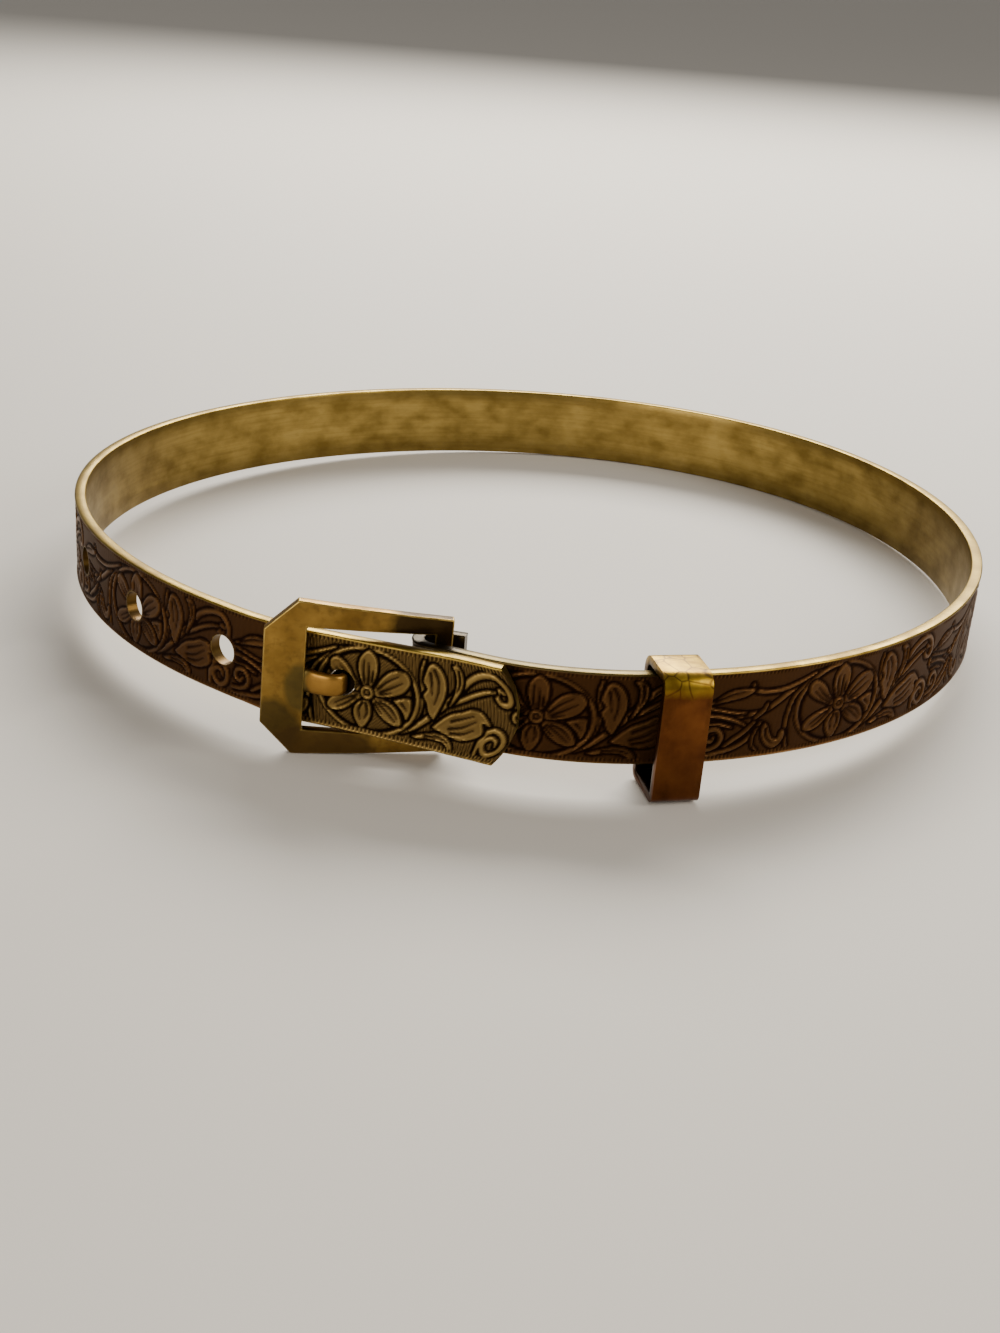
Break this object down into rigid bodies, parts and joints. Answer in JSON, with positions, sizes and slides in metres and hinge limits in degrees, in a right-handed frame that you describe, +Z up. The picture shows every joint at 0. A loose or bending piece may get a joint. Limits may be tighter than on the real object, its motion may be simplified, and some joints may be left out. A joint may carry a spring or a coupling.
{
  "type": "buckle bracelet",
  "caption": "Slim engraved brass bangle that closes like a belt, with a plate buckle, fixed prong, tapered tip with holes and a sliding keeper loop, lying on its side.",
  "frame": {"origin": "centre of the bracelet's bounding box at the surface it lies on", "axes": "+Z up, +X to the right and +Y away, as seen from the buckle's side; the buckle is at the front, at -Y"},
  "size_m": [0.069, 0.0682, 0.0103],
  "materials": {
    "strap_brass": "aged engraved brass, dark patina in the ground, bright worn edges, satin inside",
    "buckle_brass": "satin brass with dark stains",
    "keeper_brass": "polished brass on top, red-brown tarnish on the front"
  },
  "bodies": {
    "bangle": {"strap": "strap_brass", "buckle_frame": "buckle_brass"},
    "keeper": {"keeper": "keeper_brass"}
  },
  "joints": [
    {"name": "keeper_slide", "type": "hinge", "parent": "bangle", "child": "keeper", "pos_m": [0.00247, -0.00417, 0.00369], "axis": [0.0119, 0.0262, 0.9996], "range_deg": [-15, 32]}
  ]
}
